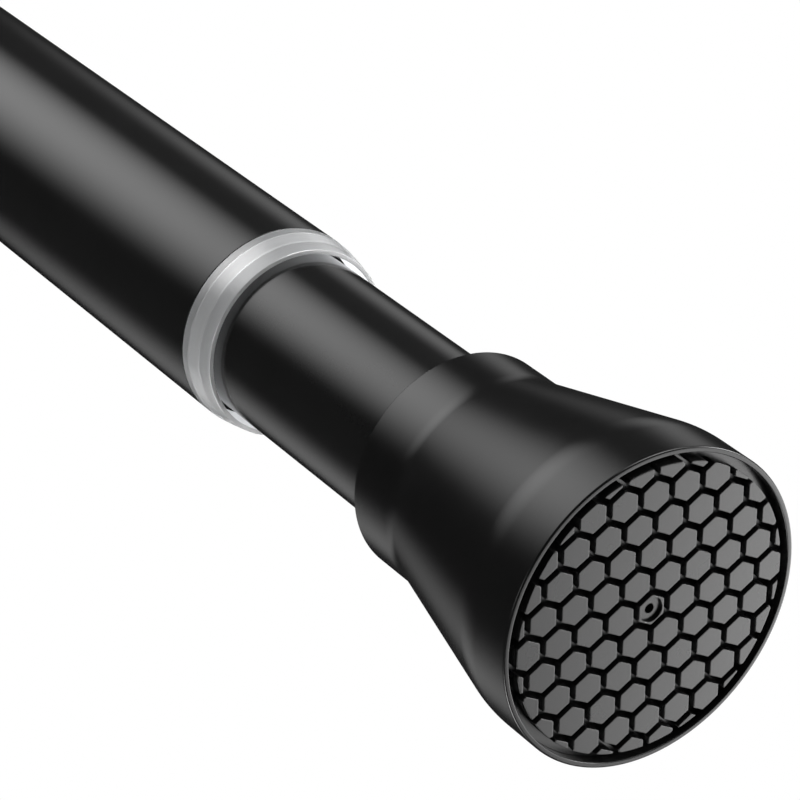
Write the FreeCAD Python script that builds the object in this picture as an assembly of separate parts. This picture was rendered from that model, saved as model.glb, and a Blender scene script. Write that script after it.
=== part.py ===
"""Spring tension rod: two telescoping steel tubes with a bell foot at each end.

The rod lies along X.  The origin is the centre of the far foot's pad face, and the
near foot, on the inner tube, faces +X.  All lengths are millimetres.
"""
import FreeCAD, Part
import math
import os

V = FreeCAD.Vector
AXIS = V(1, 0, 0)

# Overall lengths, with the rod pushed right in
closed_length = 406.4
bared_tube = 29.4
least_overlap = 25.2
end_room = 12.0

# Tubes
outer_tube_od = 22.2
outer_wall = 0.5
tube_gap = 1.075
inner_wall = 0.5

# Fits
seat_clearance = 0.03
running_clearance = 0.06
face_clearance = 0.05

# Bell feet
cap_length = 31.4
neck_wall = 0.71
neck_length = 6.36
neck_blend = 8.0
bell_flare = 4.41
mouth_band = 5.92
mouth_blend = 12.6
bell_wall = 1.6
lip_wall = 0.55
socket_wall = 1.2
web_thickness = 2.0
rib_count = 6
rib_thickness = 1.2

# Honeycomb pads
hex_pitch = 3.44
hex_groove = 0.58
groove_depth = 1.3
pad_base = 1.6
ring_groove = 0.86
least_boss_share = 0.02
gate_radius = 1.25
gate_depth = 0.33
vent_radius = 0.5
vent_depth = 0.8

# Ring and liner in the outer tube's mouth
ring_length = 4.51
ring_inset = 0.02
ring_heel = 1.15
ring_heel_drop = 0.06
ring_shoulder = 2.8
ring_shoulder_rise = 0.3
ring_nose_wall = 0.47
spigot_length = 9.0
mouth_gap = 0.5

# Twist lock
spindle_radius = 4.0
sleeve_clearance = 0.1
sleeve_length = 26.0
hub_thickness = 6.0
finger_tip_wall = 2.0
slot_count = 4
slot_width = 1.4
slot_length = 18.0
grip_ring_count = 3
grip_ring_pitch = 4.5
grip_ring_depth = 0.35
nut_length = 16.0
nut_overhang = 3.0
nut_travel = 2.0
wedge_clearance = 0.04
key_clearance = 0.1
key_inset = 0.6
key_start = 1.0
key_length = 8.0
key_root = 1.2
clip_thickness = 1.0
clip_width = 1.6
clip_seat = 0.7
clip_opening = 70.0
clip_room = 0.9
tip_length = 2.0

# Spring carrier and guide bush
washer_thickness = 1.0
washer_radius = 8.0
flange_thickness = 2.5
flange_room = 1.0
hex_across = 8.0
spring_length = 55.0
spring_wire = 1.7
spring_inset = 0.25
spring_turns = 6.0
wire_sides = 6
bush_flange = 3.0
bush_length = 12.0
bush_edge = 0.6
tail_radius = 3.6
tail_washer_radius = 6.5
tail_length = 2.5

# Sizes that follow from the ones above
outer_radius = outer_tube_od / 2
outer_bore = outer_radius - outer_wall
inner_radius = outer_bore - tube_gap
inner_bore = inner_radius - inner_wall
neck_radius = outer_radius + seat_clearance + neck_wall
mouth_radius = neck_radius + bell_flare
lip_radius = mouth_radius - lip_wall
pad_depth = groove_depth + pad_base
tube_stop = pad_depth + web_thickness
outer_tube_end = closed_length - cap_length - bared_tube - ring_length
flange_radius = outer_bore - flange_room
spring_mean_radius = flange_radius - spring_inset - spring_wire / 2
finger_tip_radius = outer_bore - sleeve_clearance - finger_tip_wall
finger_root_radius = spindle_radius + clip_width + clip_room
journal_bore = spindle_radius + running_clearance

# Stations of the lock along X, from the spindle's far tip to the inner tube
spindle_tip = tube_stop + end_room
tip_clip_start = spindle_tip + tip_length
nut_start = tip_clip_start + clip_thickness + face_clearance
sleeve_start = nut_start + nut_overhang + nut_travel
hub_start = sleeve_start + sleeve_length - hub_thickness
hub_end = hub_start + hub_thickness
hub_clip_start = hub_start - face_clearance - clip_thickness
washer_start = hub_end + face_clearance
flange_start = washer_start + washer_thickness + face_clearance
flange_end = flange_start + flange_thickness
bush_start = flange_end + spring_length + 2 * face_clearance
inner_tube_start = bush_start + bush_flange
bush_end = inner_tube_start + bush_length
tail_washer_start = bush_end + face_clearance
tail_clip_start = tail_washer_start + washer_thickness + face_clearance
spindle_end = tail_clip_start + clip_thickness + tail_length
inner_tube_end = closed_length - tube_stop - face_clearance
extension = outer_tube_end - least_overlap - inner_tube_start


def corner(before, at, after, radius):
    """Start, middle and end of the arc that rounds the corner `at`."""
    a = (before - at).normalize()
    b = (after - at).normalize()
    half = a.getAngle(b) / 2
    reach = radius / math.tan(half)
    centre = at + (a + b).normalize() * (radius / math.sin(half))
    middle = centre + (at - centre).normalize() * radius
    return at + a * reach, middle, at + b * reach


def outline(points):
    """Closed wire in the plane of X and radius; a third number rounds that corner."""
    spots = [V(p[0], p[1], 0) for p in points]
    radii = [p[2] if len(p) > 2 else 0 for p in points]
    count = len(spots)
    ends = []
    edges = []
    for i, at in enumerate(spots):
        if radii[i]:
            start, middle, end = corner(spots[i - 1], at, spots[(i + 1) % count], radii[i])
            edges.append(Part.Arc(start, middle, end).toShape())
            ends.append((start, end))
        else:
            ends.append((at, at))
    for i in range(count):
        leave, meet = ends[i][1], ends[(i + 1) % count][0]
        if leave.distanceToPoint(meet) > 1e-6:
            edges.append(Part.LineSegment(leave, meet).toShape())
    return Part.Wire(Part.__sortEdges__(edges))


def lathe(points):
    """Solid of revolution about the rod's axis."""
    return Part.Face(outline(points)).revolve(V(0, 0, 0), AXIS, 360)


def tube(start, end, inside, outside):
    return lathe([(start, inside), (end, inside), (end, outside), (start, outside)])


def slab(start, end, width, reach):
    """Flat plate through the axis side at +Y, from the axis out to `reach`."""
    return Part.makeBox(end - start, reach, width, V(start, 0, -width / 2))


def around(shape, count):
    """The shape repeated evenly about the rod's axis."""
    copies = []
    for i in range(count):
        turned = shape.copy()
        turned.rotate(V(0, 0, 0), AXIS, 360.0 * i / count)
        copies.append(turned)
    return copies


def polygon_prism(start, end, across, sides, y=0.0, z=0.0):
    """Prism along X with one flat facing +Y, `across` wide over its flats."""
    reach = across / 2 / math.cos(math.pi / sides)
    angles = [math.pi * (2 * k + 1) / sides for k in range(sides)]
    points = [V(start, y + reach * math.cos(a), z + reach * math.sin(a)) for a in angles]
    face = Part.Face(Part.makePolygon(points + points[:1]))
    return face.extrude(AXIS * (end - start))


def at_near_end(shape):
    """The far foot's shape turned round to the other end of the rod."""
    turned = shape.copy()
    turned.rotate(V(closed_length / 2, 0, 0), V(0, 0, 1), 180)
    return turned


def bell_cap(tube_radius):
    """Moulded bell foot: flared shell, ribs, and a blind socket for the tube."""
    socket = tube_radius + seat_clearance
    sleeve = socket + socket_wall
    bell = lathe([
        (0, lip_radius),
        (0, mouth_radius),
        (mouth_band, mouth_radius, mouth_blend),
        (cap_length - neck_length, neck_radius, neck_blend),
        (cap_length, neck_radius),
        (cap_length, socket),
        (tube_stop, socket),
        (tube_stop, 0),
        (pad_depth, 0),
        (pad_depth, lip_radius),
    ])
    wall_radius = mouth_radius - bell_wall
    slope = (cap_length - neck_length - mouth_band) / bell_flare
    hollow = lathe([
        (pad_depth, sleeve),
        (pad_depth, wall_radius),
        (mouth_band, wall_radius),
        (mouth_band + (wall_radius - sleeve) * slope, sleeve),
    ])
    ribs = around(slab(pad_depth, cap_length, rib_thickness, mouth_radius), rib_count)
    return bell.cut(hollow.cut(ribs))


def boss_places(reach):
    """Centres of the honeycomb's bosses, in rows along Y, out to `reach`."""
    rows = int(reach / (hex_pitch * math.sqrt(0.75))) + 1
    for row in range(-rows, rows + 1):
        z = row * hex_pitch * math.sqrt(0.75)
        columns = int(reach / hex_pitch) + 1
        for column in range(-columns, columns + 1):
            y = (column + 0.5 * (row % 2)) * hex_pitch
            if math.hypot(y, z) < reach:
                yield y, z


def honeycomb_pad():
    """Rubber disc with hexagonal bosses, trimmed to a circle, and a moulding gate."""
    field = lip_radius - ring_groove
    across = hex_pitch - hex_groove
    least_volume = least_boss_share * across ** 2 * math.sqrt(0.75) * groove_depth
    edge = Part.makeCylinder(field, groove_depth, V(0, 0, 0), AXIS)
    bosses = []
    for y, z in boss_places(field + across / 2):
        boss = polygon_prism(0, groove_depth, across, 6, y, z)
        if math.hypot(y, z) + across > field:
            boss = boss.common(edge)
        if boss.Volume > least_volume:
            bosses.append(boss)
    disc = Part.makeCylinder(lip_radius - seat_clearance, pad_base, V(groove_depth, 0, 0), AXIS)
    gate = Part.makeCylinder(gate_radius, gate_depth, V(0, 0, 0), AXIS)
    vent = Part.makeCylinder(vent_radius, vent_depth, V(0, 0, 0), AXIS)
    return disc.multiFuse(bosses).cut(gate.fuse(vent)).removeSplitter()


def mouth_ring():
    """Ring on the outer tube's mouth, tapered in three facets to its nose, with a spigot inside."""
    bore = inner_radius + mouth_gap
    nose = bore + ring_nose_wall
    front = outer_tube_end + ring_length
    crown = outer_radius - ring_inset
    spigot = outer_bore - seat_clearance
    return lathe([
        (outer_tube_end, crown),
        (outer_tube_end + ring_heel, crown - ring_heel_drop),
        (outer_tube_end + ring_shoulder, nose + ring_shoulder_rise),
        (front, nose),
        (front, bore),
        (outer_tube_end - spigot_length, bore),
        (outer_tube_end - spigot_length, spigot),
        (outer_tube_end, spigot),
    ])


def mouth_liner():
    """Thin sleeve inside the ring's spigot that guides the inner tube."""
    outside = inner_radius + mouth_gap - seat_clearance
    start = outer_tube_end - spigot_length
    return tube(start, outer_tube_end, inner_radius + running_clearance, outside)


def wedge_radius(x):
    """Radius of the cone inside the gripping sleeve at station x."""
    taper = (finger_tip_radius - finger_root_radius) / (hub_start - sleeve_start)
    return finger_tip_radius - taper * (x - sleeve_start)


def gripping_sleeve():
    """Split sleeve with a coned mouth and grip rings, turning on the spindle's journal."""
    outside = outer_bore - sleeve_clearance
    sleeve = lathe([
        (sleeve_start, wedge_radius(sleeve_start)),
        (hub_start, wedge_radius(hub_start)),
        (hub_start, journal_bore),
        (hub_end, journal_bore),
        (hub_end, outside),
        (sleeve_start, outside),
    ])
    grooves = []
    for i in range(grip_ring_count):
        x = sleeve_start + (i + 1) * grip_ring_pitch
        grooves.append(lathe([
            (x - grip_ring_depth, outside),
            (x, outside - grip_ring_depth),
            (x + grip_ring_depth, outside),
        ]))
    slot_end = sleeve_start + slot_length
    slots = around(slab(sleeve_start, slot_end, slot_width, outer_radius), slot_count)
    return sleeve.cut(slots + grooves)


def cone_nut():
    """Coned nut on the spindle's thread; its keys ride in the sleeve's slots."""
    nut_end = nut_start + nut_length
    cone = lathe([
        (nut_start, journal_bore),
        (nut_end, journal_bore),
        (nut_end, wedge_radius(nut_end + nut_travel) - wedge_clearance),
        (nut_start, wedge_radius(nut_start + nut_travel) - wedge_clearance),
    ])
    start = sleeve_start + key_start
    key = slab(start, start + key_length, slot_width - 2 * key_clearance, outer_radius)
    reach = outer_bore - sleeve_clearance - key_inset
    keys = Part.makeCompound(around(key, slot_count)).common(
        tube(start, start + key_length, journal_bore + key_root, reach))
    return cone.fuse(keys).removeSplitter()


def lock_spindle():
    """Steel spindle: threaded tip, journal, spring flange, hexagon shaft and tail."""
    groove = spindle_radius - clip_seat
    tail_groove = tail_radius - clip_seat
    round_part = lathe([
        (spindle_tip, 0),
        (spindle_tip, groove),
        (spindle_tip + clip_seat, spindle_radius),
        (tip_clip_start, spindle_radius),
        (tip_clip_start, groove),
        (tip_clip_start + clip_thickness, groove),
        (tip_clip_start + clip_thickness, spindle_radius),
        (hub_clip_start, spindle_radius),
        (hub_clip_start, groove),
        (hub_clip_start + clip_thickness, groove),
        (hub_clip_start + clip_thickness, spindle_radius),
        (flange_start, spindle_radius),
        (flange_start, flange_radius),
        (flange_end, flange_radius),
        (flange_end, 0),
    ])
    shaft = polygon_prism(flange_end, bush_end, hex_across, 6)
    tail = lathe([
        (bush_end, 0),
        (bush_end, tail_radius),
        (tail_clip_start, tail_radius),
        (tail_clip_start, tail_groove),
        (tail_clip_start + clip_thickness, tail_groove),
        (tail_clip_start + clip_thickness, tail_radius),
        (spindle_end, tail_radius),
        (spindle_end, 0),
    ])
    return round_part.fuse([shaft, tail]).removeSplitter()


def retaining_clip(start, shaft_radius):
    """Open snap ring in a groove of the spindle."""
    inside = shaft_radius - clip_seat + seat_clearance
    ring = tube(start, start + clip_thickness, inside, shaft_radius + clip_width)
    far = 2 * (shaft_radius + clip_width)
    half = far * math.tan(math.radians(clip_opening / 2))
    points = [V(start, 0, 0), V(start, half, -far), V(start, -half, -far), V(start, 0, 0)]
    wedge = Part.Face(Part.makePolygon(points)).extrude(AXIS * clip_thickness)
    return ring.cut(wedge)


def tension_spring():
    """Helical compression spring between the flange and the bush, its ends ground flat."""
    start = flange_end + face_clearance
    pitch = spring_length / spring_turns
    run = spring_length + 2 * spring_wire
    helix = Part.makeHelix(pitch, run, spring_mean_radius)
    lead = math.atan2(pitch, 2 * math.pi * spring_mean_radius)
    along = V(0, math.cos(lead), math.sin(lead))
    out = V(1, 0, 0)
    up = out.cross(along)
    reach = spring_wire / 2 / math.cos(math.pi / wire_sides)
    ring = []
    for k in range(wire_sides):
        a = math.pi * (2 * k + 1) / wire_sides
        ring.append(V(spring_mean_radius, 0, 0) + out * (reach * math.cos(a)) + up * (reach * math.sin(a)))
    section = Part.makePolygon(ring + ring[:1])
    coil = Part.Wire(helix).makePipeShell([section], True, True)
    coil.rotate(V(0, 0, 0), V(0, 1, 0), 90)
    coil.translate(V(start - spring_wire, 0, 0))
    ground = tube(start, start + spring_length, 0, spring_mean_radius + 2 * spring_wire)
    return coil.common(ground)


def guide_bush():
    """Nylon plug in the inner tube's end; the hexagon shaft slides in its bore."""
    flange = outer_bore - sleeve_clearance
    body = inner_bore - seat_clearance
    plug = lathe([
        (bush_start, 0),
        (bush_start, flange),
        (inner_tube_start, flange),
        (inner_tube_start, body),
        (bush_end - bush_edge, body),
        (bush_end, body - bush_edge),
        (bush_end, 0),
    ])
    return plug.cut(polygon_prism(bush_start, bush_end, hex_across + 2 * running_clearance, 6))


nodes = {
    "outer_tube": tube(tube_stop + face_clearance, outer_tube_end, outer_bore, outer_radius),
    "inner_tube": tube(inner_tube_start, inner_tube_end, inner_bore, inner_radius),
    "mouth_ring": mouth_ring(),
    "mouth_liner": mouth_liner(),
    "far_cap": bell_cap(outer_radius),
    "near_cap": at_near_end(bell_cap(inner_radius)),
    "far_pad": honeycomb_pad(),
    "near_pad": at_near_end(honeycomb_pad()),
    "gripping_sleeve": gripping_sleeve(),
    "cone_nut": cone_nut(),
    "lock_spindle": lock_spindle(),
    "tip_clip": retaining_clip(tip_clip_start, spindle_radius),
    "hub_clip": retaining_clip(hub_clip_start, spindle_radius),
    "thrust_washer": tube(washer_start, washer_start + washer_thickness, journal_bore, washer_radius),
    "tension_spring": tension_spring(),
    "guide_bush": guide_bush(),
    "tail_washer": tube(tail_washer_start, tail_washer_start + washer_thickness,
                        tail_radius + running_clearance, tail_washer_radius),
    "tail_clip": retaining_clip(tail_clip_start, tail_radius),
}

os.makedirs("parts", exist_ok=True)
for name, shape in nodes.items():
    shape.exportStep(f"parts/{name}.step")
    print(f"{name}: {len(shape.Solids)} solid, {shape.Volume:.1f} mm3, valid {shape.isValid()}")
print(f"inner tube starts at {inner_tube_start:.2f}, extension {extension:.2f}")
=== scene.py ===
"""Looks of a spring tension rod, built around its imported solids.

The rod lies along X with its fixed foot at the origin.  Lengths are metres.
"""
import logging
import math
from dataclasses import dataclass, field, replace
from enum import Enum
from typing import Any

import bmesh
import bpy
import numpy as np
from mathutils import Matrix, Vector


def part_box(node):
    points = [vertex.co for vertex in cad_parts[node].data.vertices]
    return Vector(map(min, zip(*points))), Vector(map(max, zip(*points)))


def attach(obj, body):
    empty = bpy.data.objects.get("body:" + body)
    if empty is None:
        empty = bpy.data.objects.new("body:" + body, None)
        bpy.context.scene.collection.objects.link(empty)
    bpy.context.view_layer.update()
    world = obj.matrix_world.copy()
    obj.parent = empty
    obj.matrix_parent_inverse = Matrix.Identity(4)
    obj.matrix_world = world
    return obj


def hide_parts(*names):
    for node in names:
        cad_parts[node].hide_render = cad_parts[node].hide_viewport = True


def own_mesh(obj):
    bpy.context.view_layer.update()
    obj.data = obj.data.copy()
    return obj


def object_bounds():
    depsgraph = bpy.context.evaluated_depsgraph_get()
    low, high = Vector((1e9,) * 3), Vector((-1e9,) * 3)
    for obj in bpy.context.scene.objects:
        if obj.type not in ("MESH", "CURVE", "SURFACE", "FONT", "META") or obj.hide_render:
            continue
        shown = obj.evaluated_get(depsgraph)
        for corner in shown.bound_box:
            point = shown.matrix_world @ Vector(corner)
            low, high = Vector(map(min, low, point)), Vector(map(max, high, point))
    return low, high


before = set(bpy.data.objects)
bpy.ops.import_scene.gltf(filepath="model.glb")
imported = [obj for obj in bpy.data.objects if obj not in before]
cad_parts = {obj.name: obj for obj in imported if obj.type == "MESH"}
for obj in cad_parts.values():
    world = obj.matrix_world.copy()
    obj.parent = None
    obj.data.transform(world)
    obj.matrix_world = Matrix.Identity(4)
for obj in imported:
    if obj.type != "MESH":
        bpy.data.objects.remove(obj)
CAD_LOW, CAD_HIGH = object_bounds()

Colour = tuple[float, float, float, float]
LOG = logging.getLogger("tension_rod")
MM = 0.001
WELD = 2e-7
TINY = 1e-6
SHARP_ANGLE = math.radians(33)
HEXAGON_SLANT = math.pi / 6


class Body(Enum):
    """Moving bodies of the rod."""

    OUTER = "outer_rod"
    SPINDLE = "spindle"
    INNER = "inner_rod"


class Socket:
    """A shader value whose arithmetic adds Math nodes."""

    def __init__(self, graph: "Graph", link: bpy.types.NodeSocket) -> None:
        """Wrap an output socket of a node in that graph."""
        self.graph = graph
        self.link = link

    def _math(self, operation: str, first: Any, second: Any) -> "Socket":
        """One Math node on two values or sockets."""
        made = self.graph.node("ShaderNodeMath", {"operation": operation}, {0: first, 1: second})
        return Socket(self.graph, made.outputs[0])

    def __add__(self, other: Any) -> "Socket":
        """Sum."""
        return self._math("ADD", self, other)

    def __radd__(self, other: Any) -> "Socket":
        """Sum with the number first."""
        return self._math("ADD", other, self)

    def __sub__(self, other: Any) -> "Socket":
        """Difference."""
        return self._math("SUBTRACT", self, other)

    def __rsub__(self, other: Any) -> "Socket":
        """Difference with the number first."""
        return self._math("SUBTRACT", other, self)

    def __mul__(self, other: Any) -> "Socket":
        """Product."""
        return self._math("MULTIPLY", self, other)

    def __rmul__(self, other: Any) -> "Socket":
        """Product with the number first."""
        return self._math("MULTIPLY", other, self)

    def __lt__(self, other: Any) -> "Socket":
        """One where this is less than the other, else zero."""
        return self._math("LESS_THAN", self, other)


class Graph:
    """Adds nodes to one node tree."""

    def __init__(self, tree: bpy.types.NodeTree) -> None:
        """Start on an emptied tree."""
        self.tree = tree
        tree.nodes.clear()

    def node(self, kind: str, settings: dict[str, Any], inputs: dict[Any, Any]) -> bpy.types.Node:
        """Make any node.

        Args:
            kind: Blender's name of the node's type.
            settings: Properties of the node; "stops" fills a colour ramp.
            inputs: Values or Sockets by the input's name or number.

        Returns:
            The new node.
        """
        made = self.tree.nodes.new(kind)
        for name, value in settings.items():
            if name == "stops":
                ramp = made.color_ramp.elements
                while len(ramp) < len(value):
                    ramp.new(1.0)
                for stop, (place, colour) in zip(ramp, value):
                    stop.position = place
                    stop.color = colour
            else:
                setattr(made, name, value)
        for key, value in inputs.items():
            if isinstance(value, Socket):
                self.tree.links.new(value.link, made.inputs[key])
            else:
                made.inputs[key].default_value = value
        return made

    def out(self, kind: str, settings: dict[str, Any], inputs: dict[Any, Any],
            output: Any = 0) -> Socket:
        """Make any node and wrap one of its outputs.

        Args:
            kind: Blender's name of the node's type.
            settings: Properties of the node.
            inputs: Values or Sockets by input.
            output: The output's name or number.

        Returns:
            The wrapped output.
        """
        return Socket(self, self.node(kind, settings, inputs).outputs[output])


@dataclass(frozen=True)
class Finish:
    """A surface finish: two close tones, gloss, and a fine grain in object space."""

    name: str
    slot: str
    dark: Colour
    pale: Colour
    roughness: float
    roughness_spread: float
    cloud_size: float
    grain_size: float
    relief: float
    metallic: float = 0.0
    specular: float = 0.5
    stretch: tuple[float, float, float] = (1.0, 1.0, 1.0)
    cloud_detail: float = 3.0
    cloud_harshness: float = 0.55
    cloud_share: float = 0.6
    grain_detail: float = 2.0
    grain_harshness: float = 0.6
    dark_below: float = 0.3
    pale_above: float = 0.7

    def surface(self, graph: Graph, place: Socket, varied: dict[str, Socket]) -> Socket:
        """The finish's shader.

        Args:
            graph: The material's nodes.
            place: Position on the piece; not used by this plain finish.
            varied: Colour, roughness and normal, which vary over the surface.

        Returns:
            The shader's output.
        """
        return graph.out("ShaderNodeBsdfPrincipled", {}, {
            **varied, "Metallic": self.metallic, "Specular IOR Level": self.specular})

    def material(self) -> bpy.types.Material:
        """Build the finish's material.

        Soft clouds mix the two tones and vary the roughness, and a finer noise gives the grain.

        Returns:
            The material, made once and shared by all pieces with this finish.
        """
        found = bpy.data.materials.get(self.name)
        if found:
            return found
        made = bpy.data.materials.new(self.name)
        made.use_nodes = True
        graph = Graph(made.node_tree)
        place = graph.out("ShaderNodeTexCoord", {}, {}, "Object")
        drawn = graph.out("ShaderNodeMapping", {}, {"Vector": place, "Scale": self.stretch})
        cloud = graph.out("ShaderNodeTexNoise", {}, {
            "Vector": drawn, "Scale": 1 / self.cloud_size,
            "Detail": self.cloud_detail, "Roughness": self.cloud_harshness})
        grain = graph.out("ShaderNodeTexNoise", {}, {
            "Vector": drawn, "Scale": 1 / self.grain_size,
            "Detail": self.grain_detail, "Roughness": self.grain_harshness})
        stops = [(self.dark_below, self.dark), (self.pale_above, self.pale)]
        tone = graph.out("ShaderNodeValToRGB", {"stops": stops}, {
            "Fac": cloud * self.cloud_share + grain * (1 - self.cloud_share)})
        bump = graph.out("ShaderNodeBump", {}, {
            "Height": grain, "Strength": 1.0, "Distance": self.relief})
        varied = {
            "Base Color": tone,
            "Roughness": self.roughness + (cloud - 0.5) * self.roughness_spread,
            "Normal": bump,
        }
        graph.node("ShaderNodeOutputMaterial", {}, {"Surface": self.surface(graph, place, varied)})
        return made


@dataclass(frozen=True)
class MilkyFinish(Finish):
    """Milky plastic that lets light through, in bands along the rod that set its milkiness and paint
    shade and highlights on it.
    """

    bend: float = 2.1
    clear_rim: float = 0.2
    bore_radius: float = 0.0
    bore_margin: float = 0.02 * MM
    front_margin: float = 0.03 * MM
    front_dulling: float = 0.4
    # Painted shade: the greyer colour given to the ring's front face.
    front_shade_grey: Colour = (0.22, 0.22, 0.22, 1.0)
    milk_and_shade_bands: tuple[tuple[float, float], ...] = ((0.0, 0.5), (1.0, 0.5))

    def surface(self, graph: Graph, place: Socket, varied: dict[str, Socket]) -> Socket:
        """White plastic mixed with a veil that passes light, and the veil alone in the bore.

        The bore is where the distance from the rod's axis is no more than the bore's radius.  The
        outside clears as the square of how far it turns away from the eye.  The bands set the share
        of white plastic by the place along the rod: partly the plastic's milkiness, partly painted
        shade on its facets and painted highlight lines at its creases and front edge.  The front face
        past the last one is painted greyer as shade, and duller.

        Args:
            graph: The material's nodes.
            place: Position on the piece.
            varied: Colour, roughness and normal, which vary over the surface.

        Returns:
            The shader's output.
        """
        split = graph.node("ShaderNodeSeparateXYZ", {}, {0: place})
        x, y, z = (Socket(graph, split.outputs[i]) for i in range(3))
        outside = 1 - (y * y + z * z < (self.bore_radius + self.bore_margin) ** 2)
        # Band levels are the white share: partly milkiness, partly painted shade on facets and painted
        # highlight lines.
        first, last = self.milk_and_shade_bands[0][0], self.milk_and_shade_bands[-1][0]
        span = last - first
        stops = [((spot - first) / span, grey(level)) for spot, level in self.milk_and_shade_bands]
        shaded_white_share = graph.out("ShaderNodeValToRGB", {"stops": stops}, {"Fac": (x - first) * (1 / span)})
        # The front face is painted grey here as shade, and made duller.
        front = 1 - (x < last - self.front_margin)
        tone = graph.out("ShaderNodeMix", {"data_type": "RGBA"}, {
            0: front, 6: varied["Base Color"], 7: self.front_shade_grey}, 2)
        gloss = varied["Roughness"] + front * self.front_dulling
        white = graph.out("ShaderNodeBsdfPrincipled", {}, {
            **varied, "Base Color": tone, "Roughness": gloss,
            "IOR": self.bend, "Specular IOR Level": self.specular})
        veil = graph.out("ShaderNodeBsdfTranslucent", {}, {"Color": self.pale})
        milky = graph.out("ShaderNodeMixShader", {}, {0: shaded_white_share * outside, 1: veil, 2: white})
        facing = graph.out("ShaderNodeLayerWeight", {}, {"Blend": 0.5}, "Facing")
        through = graph.out("ShaderNodeBsdfTransparent", {}, {})
        return graph.out("ShaderNodeMixShader", {}, {
            0: facing * facing * outside * self.clear_rim, 1: milky, 2: through})


def grey(level: float, warmth: float = 0.0) -> Colour:
    """A near grey: the level, a little warmer or cooler."""
    return (level * (1 + warmth), level, level * (1 - warmth), 1.0)


POWDER_COAT = Finish(
    "satin_powder_coat", "tube_paint", grey(0.011), grey(0.014), roughness=0.15, roughness_spread=0.03,
    cloud_size=9 * MM, grain_size=0.5 * MM, relief=0.0003 * MM, specular=0.33)
BELL_PLASTIC = Finish(
    "satin_bell_plastic", "bell_plastic", grey(0.008), grey(0.011), roughness=0.21,
    roughness_spread=0.04, cloud_size=7 * MM, grain_size=0.35 * MM, relief=0.0004 * MM, specular=0.34)
PAD_RUBBER = Finish(
    "matte_pad_rubber", "pad_rubber", grey(0.008), grey(0.012), roughness=0.27, roughness_spread=0.04,
    cloud_size=6 * MM, grain_size=0.22 * MM, relief=0.0006 * MM, specular=0.45)
MILKY_RING = MilkyFinish(
    "milky_ring_plastic", "milky_ring", grey(0.74, -0.01), grey(0.92, -0.01), roughness=0.12,
    roughness_spread=0.05, cloud_size=5 * MM, grain_size=0.4 * MM, relief=0.0005 * MM,
    specular=1.0, stretch=(1.0, 0.12, 0.12))
BLACK_NYLON = Finish(
    "black_liner_nylon", "black_nylon", grey(0.006), grey(0.009), roughness=0.55, roughness_spread=0.08,
    cloud_size=4 * MM, grain_size=0.3 * MM, relief=0.001 * MM, specular=0.18)
WHITE_NYLON = Finish(
    "natural_nylon", "white_nylon", grey(0.62, 0.03), grey(0.70, 0.03), roughness=0.42,
    roughness_spread=0.08, cloud_size=5 * MM, grain_size=0.3 * MM, relief=0.001 * MM)
GREY_NYLON = Finish(
    "grey_nylon", "grey_nylon", grey(0.20), grey(0.26), roughness=0.45, roughness_spread=0.08,
    cloud_size=5 * MM, grain_size=0.3 * MM, relief=0.001 * MM)
PLATED_STEEL = Finish(
    "plated_steel", "plated_steel", grey(0.52, 0.01), grey(0.62, 0.01), roughness=0.30,
    roughness_spread=0.12, cloud_size=4 * MM, grain_size=0.25 * MM, relief=0.0008 * MM,
    metallic=1.0, stretch=(0.1, 1.0, 1.0))
CLIP_STEEL = Finish(
    "oiled_clip_steel", "clip_steel", grey(0.08), grey(0.13), roughness=0.38, roughness_spread=0.10,
    cloud_size=3 * MM, grain_size=0.2 * MM, relief=0.001 * MM, metallic=1.0)
SPRING_STEEL = Finish(
    "drawn_spring_steel", "spring_steel", grey(0.40), grey(0.52), roughness=0.28, roughness_spread=0.10,
    cloud_size=4 * MM, grain_size=0.2 * MM, relief=0.0008 * MM, metallic=1.0)


def rounded(corners: list[tuple[float, ...]], steps: int = 7) -> np.ndarray:
    """Closed outline with its corners rounded.

    An arc's centre lies on the corner's bisector at radius / sin(half angle), and the arc runs
    between the points at radius / tan(half angle) along both sides.

    Args:
        corners: Points (x, r) or (x, r, radius of the corner).
        steps: Points on each arc.

    Returns:
        Array of points (x, r) with repeats removed.
    """
    spots = np.array([c[:2] for c in corners])
    radii = np.array([c[2] if len(c) > 2 else 0.0 for c in corners])
    back = np.roll(spots, 1, 0) - spots
    ahead = np.roll(spots, -1, 0) - spots
    back /= np.linalg.norm(back, axis=1, keepdims=True)
    ahead /= np.linalg.norm(ahead, axis=1, keepdims=True)
    half = np.arccos(np.clip((back * ahead).sum(1), -1, 1)) / 2
    bisector = back + ahead
    bisector /= np.maximum(np.linalg.norm(bisector, axis=1, keepdims=True), TINY)
    centre = spots + bisector * (radii / np.sin(half))[:, None]
    reach = (radii / np.tan(half))[:, None]
    first = spots + back * reach - centre
    last = spots + ahead * reach - centre
    start = np.arctan2(first[:, 1], first[:, 0])
    sweep = np.arctan2(last[:, 1], last[:, 0]) - start
    sweep = (sweep + np.pi) % (2 * np.pi) - np.pi
    angle = start[:, None] + sweep[:, None] * np.linspace(0, 1, steps)
    arcs = centre[:, None] + radii[:, None, None] * np.stack([np.cos(angle), np.sin(angle)], -1)
    points = arcs.reshape(-1, 2)
    apart = np.linalg.norm(points - np.roll(points, 1, 0), axis=1) > WELD
    return points[apart]


def lathe(outline: np.ndarray, segments: int = 288) -> np.ndarray:
    """Turn an outline about the rod's axis: (x, r cos a, r sin a).

    Args:
        outline: Points (x, r).
        segments: Steps round the axis.

    Returns:
        One grid of points, shape (1, outline, segments, 3).
    """
    turn = np.linspace(0, 2 * np.pi, segments, endpoint=False)
    x = np.broadcast_to(outline[:, :1], (len(outline), segments))
    r = outline[:, 1:2]
    return np.stack([x, r * np.cos(turn), r * np.sin(turn)], -1)[None]


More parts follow.
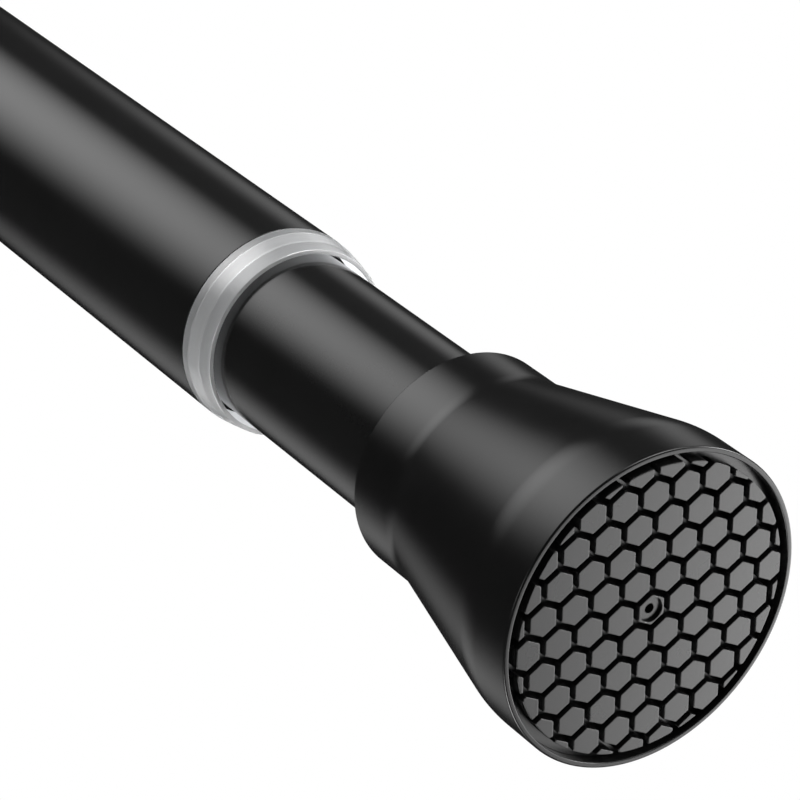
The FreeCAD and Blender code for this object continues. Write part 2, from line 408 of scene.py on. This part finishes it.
@dataclass
class Sheet:
    """Grids of points, shape (grids, rows, columns, 3), and which ways they close."""

    points: np.ndarray
    close_rows: bool = False
    close_columns: bool = True

    def faces(self) -> np.ndarray:
        """Four-cornered faces between neighbouring rows and columns.

        Returns:
            Array of point numbers, shape (faces, 4).
        """
        grids, rows, columns = self.points.shape[:3]
        number = np.arange(grids * rows * columns).reshape(grids, rows, columns)
        down = np.roll(number, -1, 1) if self.close_rows else number[:, 1:]
        number = number if self.close_rows else number[:, :-1]
        across = np.roll(number, -1, 2)
        corner = np.roll(down, -1, 2)
        keep = slice(None) if self.close_columns else slice(None, -1)
        quads = np.stack([number, across, corner, down], -1)[:, :, keep]
        return quads.reshape(-1, 4)


def make_mesh(name: str, sheets: list[Sheet]) -> bpy.types.Mesh:
    """Put grids into one mesh, close seams and poles, and turn faces outwards.

    Args:
        name: Name of the mesh.
        sheets: The grids.

    Returns:
        The mesh, smooth shaded with its sharp edges marked.
    """
    points = np.concatenate([s.points.reshape(-1, 3) for s in sheets])
    offsets = np.cumsum([0] + [s.points.size // 3 for s in sheets[:-1]])
    faces = np.concatenate([s.faces() + o for s, o in zip(sheets, offsets)])
    mesh = bpy.data.meshes.new(name)
    mesh.from_pydata(points.tolist(), [], faces.tolist())
    work = bmesh.new()
    work.from_mesh(mesh)
    bmesh.ops.remove_doubles(work, verts=work.verts, dist=WELD)
    bmesh.ops.recalc_face_normals(work, faces=work.faces)
    work.to_mesh(mesh)
    work.free()
    mesh.polygons.foreach_set("use_smooth", np.ones(len(mesh.polygons), bool))
    mesh.set_sharp_from_angle(angle=SHARP_ANGLE)
    return mesh


def add_piece(node: str, body: Body, sheets: list[Sheet], finish: Finish) -> bpy.types.Object:
    """Add a piece that stands for one solid and moves with its body.

    Args:
        node: Name of the solid that the piece replaces.
        body: The body that carries it.
        sheets: Its surface.
        finish: Its finish.

    Returns:
        The new object.
    """
    name = node + "_surface"
    mesh = make_mesh(name, sheets)
    piece = bpy.data.objects.new(name, mesh)
    bpy.context.scene.collection.objects.link(piece)
    mesh.materials.append(finish.material())
    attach(piece, body.value)
    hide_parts(node)
    LOG.info("%s: %d faces on %s", name, len(mesh.polygons), body.value)
    return piece


def reach_of(node: str) -> tuple[float, float, float]:
    """Start, end and radius of a round solid along the rod.

    Args:
        node: Name of the solid.

    Returns:
        Lowest x, highest x and outer radius.
    """
    low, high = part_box(node)
    return low.x, high.x, (high.z - low.z) / 2


@dataclass
class Tube:
    """One of the two thin steel tubes."""

    node: str
    body: Body
    wall: float = 0.5 * MM
    edge: float = 0.12 * MM

    def build(self) -> None:
        """Turn the tube's wall, with small rounds on its cut ends."""
        start, end, radius = reach_of(self.node)
        bore = radius - self.wall
        outline = rounded([
            (start, bore, self.edge), (end, bore, self.edge),
            (end, radius, self.edge), (start, radius, self.edge),
        ])
        add_piece(self.node, self.body, [Sheet(lathe(outline), close_rows=True)], POWDER_COAT)


@dataclass
class MouthRing:
    """Milky ring on the outer tube's mouth and the dark liner in it."""

    ring_node: str = "mouth_ring"
    liner_node: str = "mouth_liner"
    tube_node: str = "outer_tube"
    inner_node: str = "inner_tube"
    gap: float = 0.5 * MM
    nose_wall: float = 0.47 * MM
    heel: float = 1.15 * MM
    heel_drop: float = 0.06 * MM
    shoulder: float = 2.8 * MM
    shoulder_rise: float = 0.3 * MM
    seat: float = 0.03 * MM
    running: float = 0.06 * MM
    wall: float = 0.5 * MM
    soft_edge: float = 0.1 * MM
    crisp_edge: float = 0.1 * MM
    # Width of the painted highlight lines at the creases, then white shares: partly milkiness, partly
    # painted shade and highlights.
    crease_highlight_width: float = 0.12 * MM
    heel_shaded_white: tuple[float, float] = (0.30, 0.32)
    middle_shaded_white: tuple[float, float] = (0.56, 0.58)
    nose_shaded_white: tuple[float, float] = (0.42, 0.46)
    crease_highlight_white: tuple[float, float] = (0.76, 0.85)
    edge_highlight_white: tuple[float, float] = (0.56, 0.80)

    def build(self) -> None:
        """Turn the ring, tapered in three facets to its nose, and the liner's sleeve."""
        back, front, crown = reach_of(self.ring_node)
        _, tube_end, tube_radius = reach_of(self.tube_node)
        inner_radius = reach_of(self.inner_node)[2]
        bore = inner_radius + self.gap
        nose = bore + self.nose_wall
        spigot = tube_radius - self.wall - self.seat
        heel, shoulder = tube_end + self.heel, tube_end + self.shoulder
        ring = rounded([
            (tube_end, crown, self.crisp_edge),
            (heel, crown - self.heel_drop, self.soft_edge),
            (shoulder, nose + self.shoulder_rise, self.soft_edge),
            (front, nose, self.crisp_edge),
            (front, bore, self.crisp_edge),
            (back, bore),
            (back, spigot),
            (tube_end, spigot),
        ])
        # Bands along the ring: painted shade on its facets and painted highlight lines at its creases
        # and front edge.
        line = self.crease_highlight_width
        edge = front - self.crisp_edge
        milk_and_shade_bands = (
            (tube_end, self.heel_shaded_white[0]), (heel - line, self.heel_shaded_white[1]),
            (heel, self.crease_highlight_white[0]),
            (heel + line, self.middle_shaded_white[0]), (shoulder - line, self.middle_shaded_white[1]),
            (shoulder, self.crease_highlight_white[1]),
            (shoulder + line, self.nose_shaded_white[0]), (edge - line, self.nose_shaded_white[1]),
            (edge, self.edge_highlight_white[0]), (front, self.edge_highlight_white[1]),
        )
        finish = replace(MILKY_RING, bore_radius=bore, milk_and_shade_bands=milk_and_shade_bands)
        add_piece(self.ring_node, Body.OUTER, [Sheet(lathe(ring), close_rows=True)], finish)
        back, front, outside = reach_of(self.liner_node)
        inside = inner_radius + self.running
        liner = rounded([(back, inside), (front, inside), (front, outside), (back, outside)])
        add_piece(self.liner_node, Body.OUTER, [Sheet(lathe(liner), close_rows=True)], BLACK_NYLON)


@dataclass
class BellFoot:
    """A moulded bell foot with its honeycomb pad, at one end of the rod."""

    cap_node: str
    pad_node: str
    tube_node: str
    body: Body
    near: bool
    neck_radius: float = 11.84 * MM
    neck_length: float = 6.36 * MM
    neck_blend: float = 8.0 * MM
    mouth_band: float = 5.92 * MM
    mouth_blend: float = 12.6 * MM
    lip_wall: float = 0.55 * MM
    rim_edge: float = 0.18 * MM
    neck_edge: float = 0.2 * MM
    seat: float = 0.03 * MM
    web: float = 2.0 * MM
    hex_pitch: float = 3.44 * MM
    hex_groove: float = 0.64 * MM
    groove_depth: float = 1.3 * MM
    ring_groove: float = 0.86 * MM
    least_boss_share: float = 0.02
    boss_edge: float = 0.06 * MM
    boss_root: float = 0.1 * MM
    support: float = 0.03 * MM
    gate_radius: float = 1.25 * MM
    gate_depth: float = 0.33 * MM
    vent_radius: float = 0.5 * MM
    vent_depth: float = 0.8 * MM
    around: int = 36
    arc_steps: int = 5
    blend_steps: int = 24
    mouth_radius: float = field(init=False)
    lip_radius: float = field(init=False)
    length: float = field(init=False)
    outer_face: float = field(init=False)
    pad_depth: float = field(init=False)

    def build(self) -> None:
        """Measure the foot's solids, then make the foot and its pad."""
        start, end, self.mouth_radius = reach_of(self.cap_node)
        self.length = end - start
        self.outer_face = end if self.near else start
        pad_start, pad_end, _ = reach_of(self.pad_node)
        self.pad_depth = pad_end - pad_start
        self.lip_radius = self.mouth_radius - self.lip_wall
        cap = Sheet(self.placed(lathe(self.cap_outline())), close_rows=True)
        add_piece(self.cap_node, self.body, [cap], BELL_PLASTIC)
        disc = Sheet(self.placed(lathe(self.disc_outline())), close_rows=True)
        bosses = [Sheet(self.placed(b)) for b in (self.plain_bosses(), self.gate_boss())]
        add_piece(self.pad_node, self.body, [disc, *bosses], PAD_RUBBER)

    def placed(self, points: np.ndarray) -> np.ndarray:
        """Move points from the foot's own frame, x inwards from its face, to its end of the rod.

        Args:
            points: Any array of points.

        Returns:
            The points, for the near foot turned half round about Z.
        """
        if not self.near:
            return points
        return points * (-1, -1, 1) + (self.outer_face, 0, 0)

    def cap_outline(self) -> np.ndarray:
        """Outline of the bell: lip, flared skin, neck, socket for the tube and pad seat.

        Returns:
            Array of points (x, r), x inwards from the foot's face.
        """
        socket = reach_of(self.tube_node)[2] + self.seat
        stop = self.pad_depth + self.web
        return rounded([
            (0, self.lip_radius, self.rim_edge / 2),
            (0, self.mouth_radius, self.rim_edge),
            (self.mouth_band, self.mouth_radius, self.mouth_blend),
            (self.length - self.neck_length, self.neck_radius, self.neck_blend),
            (self.length, self.neck_radius, self.neck_edge),
            (self.length, socket),
            (stop, socket),
            (stop, 0),
            (self.pad_depth, 0),
            (self.pad_depth, self.lip_radius),
        ], self.blend_steps)

    def disc_outline(self) -> np.ndarray:
        """Outline of the pad's base under its bosses.

        Returns:
            Array of points (x, r), x inwards from the foot's face.
        """
        radius = self.lip_radius - self.seat
        return rounded([
            (self.groove_depth, 0), (self.groove_depth, radius),
            (self.pad_depth, radius), (self.pad_depth, 0),
        ])

    def boss_half(self) -> float:
        """Half a boss's width over its flats."""
        return (self.hex_pitch - self.hex_groove) / 2

    def field_radius(self) -> float:
        """Radius of the round field that the bosses fill."""
        return self.lip_radius - self.ring_groove

    def boss_profile(self) -> np.ndarray:
        """Rows of a boss: wall from the root, edge rounded as a quarter circle, start of the flat top.

        Returns:
            Array of (inset, depth), one for each row.
        """
        turn = np.linspace(0, np.pi / 2, self.arc_steps)
        inset = self.boss_edge * (1 - np.cos(turn))
        depth = self.boss_edge * (1 - np.sin(turn))
        root = (0.0, self.groove_depth + self.boss_root)
        flat = (self.boss_edge + self.support, 0.0)
        return np.vstack([root, np.stack([inset, depth], -1), flat])

    def boss_rows(self, centres: np.ndarray) -> tuple[np.ndarray, np.ndarray, np.ndarray]:
        """Rims of hexagons trimmed to the pad's round field, as distances from a point inside each.

        A hexagon reaches (half width - inset - n.s) / n.u along the direction u, the least over
        its six outward normals n, where s is the inside point measured from its centre.  The field
        reaches -q.u + root((q.u)^2 - q.q + (radius - inset)^2) from the inside point q.

        Args:
            centres: Centres (y, z) of the hexagons.

        Returns:
            Inside points, directions as angles and distances of shape (bosses, rows, angles).
        """
        half, round_field = self.boss_half(), self.field_radius()
        sides = np.arange(6) * np.pi / 3
        normals = np.stack([np.cos(sides), np.sin(sides)], -1)
        away = np.linalg.norm(centres, axis=1)
        inward = -centres / np.maximum(away, TINY)[:, None]
        squareness = (inward @ normals.T).max(1)
        span = half / np.where(squareness > TINY, squareness, 1)
        shift = inward * ((np.maximum(-span, away - round_field) + span) / 2)[:, None]
        inside = centres + shift
        slant = sides + HEXAGON_SLANT
        tips = half / math.cos(HEXAGON_SLANT) * np.stack([np.cos(slant), np.sin(slant)], -1)
        to_tips = tips[None] - shift[:, None]
        even = np.linspace(-np.pi, np.pi, self.around, endpoint=False)
        angles = np.sort(np.concatenate([
            np.broadcast_to(even, (len(centres), self.around)),
            np.arctan2(to_tips[..., 1], to_tips[..., 0]),
        ], 1), 1)
        ways = np.stack([np.cos(angles), np.sin(angles)], -1)
        inset = self.boss_profile()[:, 0]
        facing = ways @ normals.T
        room = half - inset[None, :, None, None] - (shift @ normals.T)[:, None, None, :]
        slope = np.where(facing > TINY, 1 / np.maximum(facing, TINY), np.inf)
        flats = slope[:, None] * np.maximum(room, 0)
        hexagon = np.where(np.isnan(flats), np.inf, flats).min(-1)
        along = np.einsum("bd,bkd->bk", inside, ways)[:, None]
        rest = (round_field - inset)[None, :, None] ** 2 - (inside ** 2).sum(1)[:, None, None]
        circle = np.sqrt(np.maximum(along ** 2 + rest, 0)) - along
        return inside, angles, np.clip(np.minimum(hexagon, circle), 0, None)

    def stacked(self, inside: np.ndarray, angles: np.ndarray, rows: np.ndarray,
                depth: np.ndarray) -> np.ndarray:
        """Points of rims: inside point plus distance along each direction, at the row's depth.

        Args:
            inside: Inside points (y, z).
            angles: Directions of shape (bosses, angles).
            rows: Distances of shape (bosses, rows, angles).
            depth: Depth of each row.

        Returns:
            Points of shape (bosses, rows, angles, 3).
        """
        y = inside[:, 0, None, None] + rows * np.cos(angles)[:, None]
        z = inside[:, 1, None, None] + rows * np.sin(angles)[:, None]
        x = np.broadcast_to(depth[None, :, None], y.shape)
        return np.stack([x, y, z], -1)

    def plain_bosses(self) -> np.ndarray:
        """Grids of all bosses but the middle one, each closed by a flat top.

        Rows lie pitch * root(3/4) apart, every other one shifted by half a pitch.  A boss is left
        out where the field's edge leaves only a sliver of its area.

        Returns:
            Points of shape (bosses, rows, angles, 3).
        """
        rise = self.hex_pitch * math.sqrt(0.75)
        count = int(self.lip_radius / rise) + 2
        line = np.arange(-count, count + 1)
        row, column = np.meshgrid(line, line)
        along = (column + 0.5 * (row % 2)) * self.hex_pitch
        centres = np.stack([along, row * rise], -1).reshape(-1, 2)
        away = np.linalg.norm(centres, axis=1)
        half = self.boss_half()
        centres = centres[(away > half) & (away < self.field_radius() + half)]
        inside, angles, rows = self.boss_rows(centres)
        wedge = np.diff(angles, axis=1, append=angles[:, :1] + 2 * np.pi)
        area = (rows[:, 0] * np.roll(rows[:, 0], -1, 1) * np.sin(wedge)).sum(1) / 2
        kept = area > self.least_boss_share * 2 * math.sqrt(3) * half ** 2
        rows = np.concatenate([rows, np.zeros_like(rows[:, :1])], 1)[kept]
        depth = np.append(self.boss_profile()[:, 1], 0.0)
        return self.stacked(inside[kept], angles[kept], rows, depth)

    def gate_boss(self) -> np.ndarray:
        """Grid of the middle boss, with the moulding gate's dimple and vent in its top.

        Returns:
            Points of shape (1, rows, angles, 3).
        """
        inside, angles, rows = self.boss_rows(np.zeros((1, 2)))
        rim = self.boss_edge / 3
        dimple = np.array([
            (self.gate_radius + rim, 0.0), (self.gate_radius, rim),
            (self.gate_radius, self.gate_depth), (self.vent_radius + rim, self.gate_depth),
            (self.vent_radius, self.gate_depth + rim), (self.vent_radius, self.vent_depth),
            (0.0, self.vent_depth),
        ])
        circles = np.broadcast_to(dimple[:, 0, None], (len(dimple), angles.shape[1]))[None]
        rows = np.concatenate([rows, np.minimum(circles, rows[:, -1:].min() - self.support)], 1)
        depth = np.append(self.boss_profile()[:, 1], dimple[:, 1])
        return self.stacked(inside, angles, rows, depth)


@dataclass
class TensionSpring:
    """Compression spring round the spindle's hexagon shaft."""

    node: str = "tension_spring"
    joint: str = "spring_push"
    wire: float = 1.7 * MM
    mean_radius: float = 8.5 * MM
    turns: float = 8.0
    closed_turns: float = 1.0
    ease_turns: float = 0.25
    stroke: float = 20 * MM
    steps: int = 480
    wire_sides: int = 14

    def build(self) -> None:
        """Carry the wire's circle along a helix with closed ends, ground flat.

        The helix rises by one wire in a turn at its ends and by an even share of the rest between
        them, with a short change that eases as 3t^2 - 2t^3.
        """
        start, end, _ = reach_of(self.node)
        turned = np.linspace(0, self.turns, self.steps)
        from_end = np.minimum(turned, self.turns - turned) - self.closed_turns
        ease = np.clip(from_end / self.ease_turns * 0.5 + 0.5, 0, 1)
        ease = ease * ease * (3 - 2 * ease)
        step = turned[1] - turned[0]
        middle = ((ease[1:] + ease[:-1]) / 2 * step).sum()
        travel = end - start - self.wire
        open_rise = (travel - self.wire * (self.turns - middle)) / middle
        rise = self.wire + (open_rise - self.wire) * ease
        climbed = np.cumsum((rise[1:] + rise[:-1]) / 2 * step)
        x = start + self.wire / 2 + np.concatenate([[0], climbed])
        angle = 2 * np.pi * turned
        out = np.stack([np.zeros_like(angle), np.cos(angle), np.sin(angle)], -1)
        line = self.mean_radius * out
        line[:, 0] = x
        along = np.gradient(line, axis=0)
        along /= np.linalg.norm(along, axis=1, keepdims=True)
        side = np.cross(along, out)
        ring = np.linspace(0, 2 * np.pi, self.wire_sides, endpoint=False)[None, :, None]
        offset = out[:, None] * np.cos(ring) + side[:, None] * np.sin(ring)
        points = line[:, None] + self.wire / 2 * offset
        caps = [line[:1, None] + 0 * offset[:1], points, line[-1:, None] + 0 * offset[-1:]]
        points = np.concatenate(caps)
        points[..., 0] = np.clip(points[..., 0], start, end)
        piece = add_piece(self.node, Body.SPINDLE, [Sheet(points[None])], SPRING_STEEL)
        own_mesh(piece)


@dataclass
class LockSpindle:
    """Steel spindle with its thread, journal, spring flange, hexagon shaft and tail."""

    node: str = "lock_spindle"
    radius: float = 4.0 * MM
    groove: float = 0.7 * MM
    clip: float = 1.0 * MM
    tip: float = 2.0 * MM
    hub_clip: float = 27.0 * MM
    flange_start: float = 35.15 * MM
    flange: float = 2.5 * MM
    shaft_end: float = 107.75 * MM
    tail_radius: float = 3.6 * MM
    tail_clip: float = 1.1 * MM
    across: float = 8.0 * MM
    thread_pitch: float = 1.0 * MM
    thread_depth: float = 0.45 * MM
    thread_margin: float = 0.6 * MM
    rows_per_pitch: int = 10
    segments: int = 96

    def build(self) -> None:
        """Carry a round or hexagonal section along the spindle and cut the thread into it.

        The radius at station x and angle a is the section's, less the thread's depth times
        a triangle wave of x / pitch - a / (one turn), over the threaded stretch.
        """
        start, end, widest = reach_of(self.node)
        turn = np.linspace(0, 2 * np.pi, self.segments, endpoint=False)
        slant = (turn + HEXAGON_SLANT) % (2 * HEXAGON_SLANT) - HEXAGON_SLANT
        hexagon = self.across / 2 / np.cos(slant)
        low, tail_low = self.radius - self.groove, self.tail_radius - self.groove
        clip = self.tip + self.clip
        hub = self.hub_clip + self.clip
        flange = self.flange_start + self.flange
        tail = self.shaft_end + self.tail_clip
        before = np.array([
            (0, 0), (0, low), (self.groove, self.radius), (self.tip, self.radius), (self.tip, low),
            (clip, low), (clip, self.radius),
        ])
        count = int((self.hub_clip - clip) / self.thread_pitch) * self.rows_per_pitch
        threaded = np.linspace(clip, self.hub_clip, count)
        after = np.array([
            (self.hub_clip, self.radius), (self.hub_clip, low), (hub, low), (hub, self.radius),
            (self.flange_start, self.radius), (self.flange_start, widest), (flange, widest),
        ])
        length = end - start
        rear = np.array([
            (self.shaft_end, self.tail_radius), (tail, self.tail_radius), (tail, tail_low),
            (tail + self.clip, tail_low), (tail + self.clip, self.tail_radius),
            (length, self.tail_radius), (length, 0),
        ])
        wave = np.abs((threaded[:, None] / self.thread_pitch - turn / (2 * np.pi)) % 1 * 2 - 1)
        from_end = np.minimum(threaded - clip, self.hub_clip - threaded) / self.thread_margin
        depth = self.thread_depth * np.clip(from_end, 0, 1)[:, None]
        flat = np.ones_like(turn)
        radii = np.concatenate([
            before[:, 1:] * flat, self.radius - depth * wave, after[:, 1:] * flat,
            np.stack([hexagon, hexagon]), rear[:, 1:] * flat,
        ])
        shaft = [flange, self.shaft_end]
        x = np.concatenate([before[:, 0], threaded, after[:, 0], shaft, rear[:, 0]])
        x = np.broadcast_to(start + x[:, None], radii.shape)
        points = np.stack([x, radii * np.cos(turn), radii * np.sin(turn)], -1)
        add_piece(self.node, Body.SPINDLE, [Sheet(points[None])], PLATED_STEEL)


@dataclass
class LockParts:
    """The twist lock's solids inside the tubes, shown as they are."""

    finishes: tuple[tuple[str, Finish], ...] = (
        ("gripping_sleeve", WHITE_NYLON),
        ("guide_bush", WHITE_NYLON),
        ("cone_nut", GREY_NYLON),
        ("thrust_washer", PLATED_STEEL),
        ("tail_washer", PLATED_STEEL),
        ("tip_clip", CLIP_STEEL),
        ("hub_clip", CLIP_STEEL),
        ("tail_clip", CLIP_STEEL),
    )

    def dress(self) -> None:
        """Give each solid its finish."""
        for node, finish in self.finishes:
            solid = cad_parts[node]
            solid.data.materials.clear()
            solid.data.materials.append(finish.material())
            LOG.info("%s: %s", node, finish.name)


@dataclass(frozen=True)
class Lamp:
    """A soft box seen from the near foot in a direction, brightest at its middle."""

    name: str
    toward: tuple[float, float, float]
    distance: float
    size: float
    radiance: float
    turn: float = 0.0

    def hang(self, target: Vector) -> None:
        """Add the lamp, facing the target unless it is turned away from it about Z.

        Its power is pi times its area times its middle's radiance, and the light fades to its
        edges as (4u(1-u))^2 (4v(1-v))^2.

        Args:
            target: The point from which it is placed.
        """
        data = bpy.data.lights.new(self.name, "AREA")
        data.shape = "SQUARE"
        data.size = self.size
        data.energy = math.pi * self.size ** 2 * self.radiance
        data.use_nodes = True
        graph = Graph(data.node_tree)
        spot = graph.out("ShaderNodeNewGeometry", {}, {}, "Parametric")
        split = graph.node("ShaderNodeSeparateXYZ", {}, {0: spot})
        u, v = (Socket(graph, split.outputs[i]) for i in range(2))
        hump = 16 * u * (1 - u) * v * (1 - v)
        glow = graph.out("ShaderNodeEmission", {}, {"Strength": hump * hump})
        graph.node("ShaderNodeOutputLight", {}, {"Surface": glow})
        lamp = bpy.data.objects.new(self.name, data)
        way = Vector(self.toward).normalized()
        facing = way.to_track_quat("Z", "Y").to_matrix().to_4x4()
        turned = Matrix.Rotation(math.radians(self.turn), 4, "Z") @ facing
        lamp.matrix_world = Matrix.Translation(target + way * self.distance) @ turned
        lamp.visible_camera = False
        bpy.context.scene.collection.objects.link(lamp)


@dataclass
class Studio:
    """Floor, lamps, world and camera."""

    floor_drop: float = 0.30
    floor_reach: float = 4.0
    floor_steps: int = 9
    floor_grey: float = 0.8
    ambient: float = 0.01
    target_inset: float = 0.03
    camera_place: tuple[float, float, float] = (0.60806, -0.15943, 0.16451)
    camera_right: tuple[float, float, float] = (0.54850, 0.83615, 0.0)
    camera_up: tuple[float, float, float] = (-0.40728, 0.26714, 0.87336)
    lens: float = 151.44
    sensor: float = 36.0
    nearest: float = 0.01
    lamps: tuple[Lamp, ...] = (
        Lamp("overhead_box", (-0.74, -0.20, 0.64), distance=1.0, size=1.25, radiance=4.1),
        Lamp("front_low_box", (0.49, 0.73, -0.47), distance=0.50, size=0.52, radiance=8.4),
        Lamp("under_box", (-0.66, -0.30, -0.69), distance=0.38, size=0.34, radiance=0.77),
        Lamp("left_box", (-0.12, -0.97, 0.15), distance=1.0, size=0.6, radiance=4.5),
        Lamp("right_box", (-0.66, 0.71, 0.18), distance=1.0, size=0.6, radiance=0.65),
        Lamp("top_box", (0.05, 0.50, 0.86), distance=1.0, size=1.0, radiance=10.0),
        Lamp("low_box", (0.35, -0.47, -0.81), distance=0.34, size=0.28, radiance=13.0),
        Lamp("far_side_box", (0.35, 0.90, 0.25), distance=1.0, size=0.6, radiance=24.0),
        Lamp("far_left_box", (-0.92, -0.36, -0.13), distance=0.75, size=0.4, radiance=8.0, turn=90.0),
        Lamp("far_right_box", (-0.92, 0.36, -0.13), distance=0.75, size=0.4, radiance=8.0, turn=-90.0),
    )

    def build(self) -> None:
        """Set up the whole studio."""
        self.floor()
        self.world()
        target = Vector((CAD_HIGH.x - self.target_inset, 0, 0))
        for lamp in self.lamps:
            lamp.hang(target)
        self.camera()
        bpy.context.scene.view_settings.view_transform = "Standard"

    def seen_directly(self, graph: Graph) -> Socket:
        """One where the camera sees a surface, by itself or through clear plastic, and else zero.

        Rays off gloss are left out, so that the black finishes mirror a dim room.

        Args:
            graph: Nodes of the floor's material or the world.

        Returns:
            The mask.
        """
        path = graph.node("ShaderNodeLightPath", {}, {})
        by_eye = Socket(graph, path.outputs["Is Camera Ray"])
        return by_eye + Socket(graph, path.outputs["Is Transmission Ray"])

    def floor(self) -> None:
        """Pale floor below the rod, plain white to the camera."""
        way = np.linspace(-self.floor_reach, self.floor_reach, self.floor_steps)
        x, y = np.meshgrid(way, way, indexing="ij")
        points = np.stack([x, y, np.full_like(x, -self.floor_drop)], -1)[None]
        sheet = Sheet(points, close_columns=False)
        mesh = bpy.data.meshes.new("floor")
        mesh.from_pydata(points.reshape(-1, 3).tolist(), [], sheet.faces().tolist())
        floor = bpy.data.objects.new("floor", mesh)
        bpy.context.scene.collection.objects.link(floor)
        material = bpy.data.materials.new("pale_floor")
        material.use_nodes = True
        graph = Graph(material.node_tree)
        seen = self.seen_directly(graph)
        pale = graph.out("ShaderNodeBsdfDiffuse", {}, {"Color": grey(self.floor_grey)})
        white = graph.out("ShaderNodeEmission", {}, {"Color": grey(1.0), "Strength": 1.0})
        mixed = graph.out("ShaderNodeMixShader", {}, {0: seen, 1: pale, 2: white})
        graph.node("ShaderNodeOutputMaterial", {}, {"Surface": mixed})
        mesh.materials.append(material)
        floor.visible_glossy = False

    def world(self) -> None:
        """Dim room light, with a white backdrop for the camera."""
        world = bpy.data.worlds.new("studio")
        world.use_nodes = True
        graph = Graph(world.node_tree)
        seen = self.seen_directly(graph)
        level = seen * (1 - self.ambient) + self.ambient
        light = graph.out("ShaderNodeBackground", {}, {"Color": grey(1.0), "Strength": level})
        graph.node("ShaderNodeOutputWorld", {}, {"Surface": light})
        bpy.context.scene.world = world

    def camera(self) -> None:
        """Camera close to the near foot, looking back along the rod."""
        data = bpy.data.cameras.new("camera")
        data.lens = self.lens
        data.sensor_width = self.sensor
        data.clip_start = self.nearest
        right, up = Vector(self.camera_right), Vector(self.camera_up)
        turn = Matrix((right, up, right.cross(up))).transposed().to_4x4()
        camera = bpy.data.objects.new("camera", data)
        camera.matrix_world = Matrix.Translation(self.camera_place) @ turn
        bpy.context.scene.collection.objects.link(camera)
        bpy.context.scene.camera = camera


def main() -> None:
    """Build the rod's pieces in order, then the studio."""
    logging.basicConfig(level=logging.INFO, format="%(message)s")
    Tube("outer_tube", Body.OUTER).build()
    Tube("inner_tube", Body.INNER).build()
    MouthRing().build()
    BellFoot("far_cap", "far_pad", "outer_tube", Body.OUTER, near=False).build()
    BellFoot("near_cap", "near_pad", "inner_tube", Body.INNER, near=True).build()
    TensionSpring().build()
    LockSpindle().build()
    LockParts().dress()
    Studio().build()


if __name__ == "__main__":
    main()
